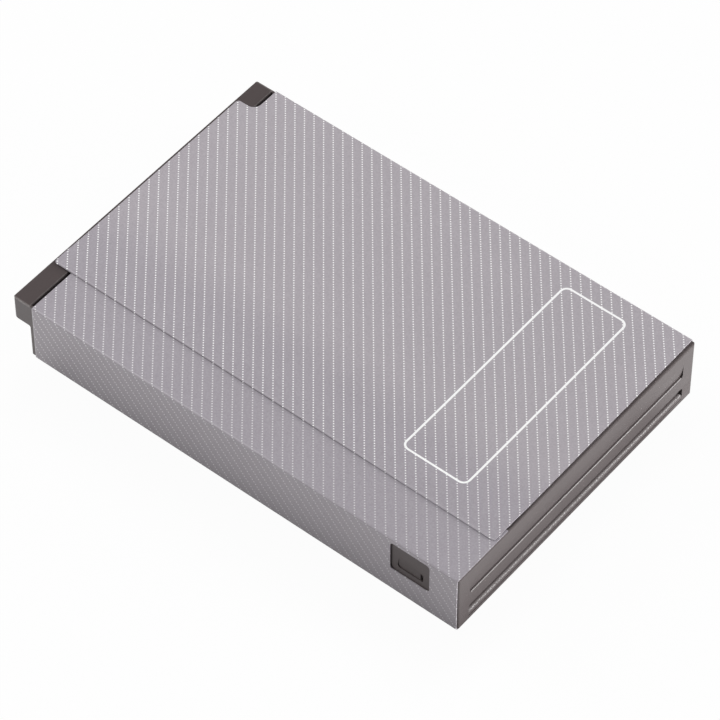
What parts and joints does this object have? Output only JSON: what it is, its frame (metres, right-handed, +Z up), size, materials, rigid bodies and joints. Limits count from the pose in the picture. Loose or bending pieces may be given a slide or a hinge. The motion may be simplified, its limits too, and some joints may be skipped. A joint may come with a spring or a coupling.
{
  "type": "handheld terminal battery",
  "caption": "Flat rechargeable battery pack with a moulded case, a hook lip at its terminal end, a ramped grip recess at the other and a wrapped printed label.",
  "frame": {"origin": "under the middle of the outline, on the surface that the battery lies on", "axes": "+X along the battery from the terminal end to the grip end, +Y across it, away from the latch notch, +Z up"},
  "size_m": [0.075, 0.0506, 0.0106],
  "materials": {
    "case_plastic": "fine satin moulded texture, warm dark grey",
    "label_film": "satin printed film, mauve grey with rows of pale dots",
    "cell_foil": "satin laminated foil",
    "insulation_paper": "pale barley paper",
    "foam": "black closed-cell foam",
    "tape": "white double sided tape",
    "nickel": "plain nickel strip",
    "breaker_case": "black moulded body with bare leads",
    "board_laminate": "green solder mask",
    "chip_moulding": "black moulding compound",
    "chip_ceramic": "tan ceramic with tinned ends",
    "contact_gold": "gold plated, satin"
  },
  "bodies": {
    "root": {"case_tray": "case_plastic", "case_lid": "case_plastic", "label_wrap": "label_film", "cell": "cell_foil", "insulation_sheet": "insulation_paper", "foam_pad": "foam", "floor_tape_1": "tape", "floor_tape_2": "tape", "tab_negative": "nickel", "tab_positive": "nickel", "link_strip": "nickel", "breaker": "breaker_case", "board": "board_laminate", "switch_transistor": "chip_moulding", "protection_chip": "chip_moulding", "gauge_chip": "chip_moulding", "sense_resistor": "chip_moulding", "thermistor": "chip_ceramic", "capacitor_1": "chip_ceramic", "capacitor_2": "chip_ceramic", "capacitor_3": "chip_ceramic", "capacitor_4": "chip_ceramic", "resistor_1": "chip_moulding", "resistor_2": "chip_moulding", "resistor_3": "chip_moulding", "resistor_4": "chip_moulding", "resistor_5": "chip_moulding", "contact_1": "contact_gold", "contact_2": "contact_gold", "contact_3": "contact_gold", "contact_4": "contact_gold", "contact_5": "contact_gold"}
  },
  "joints": []
}
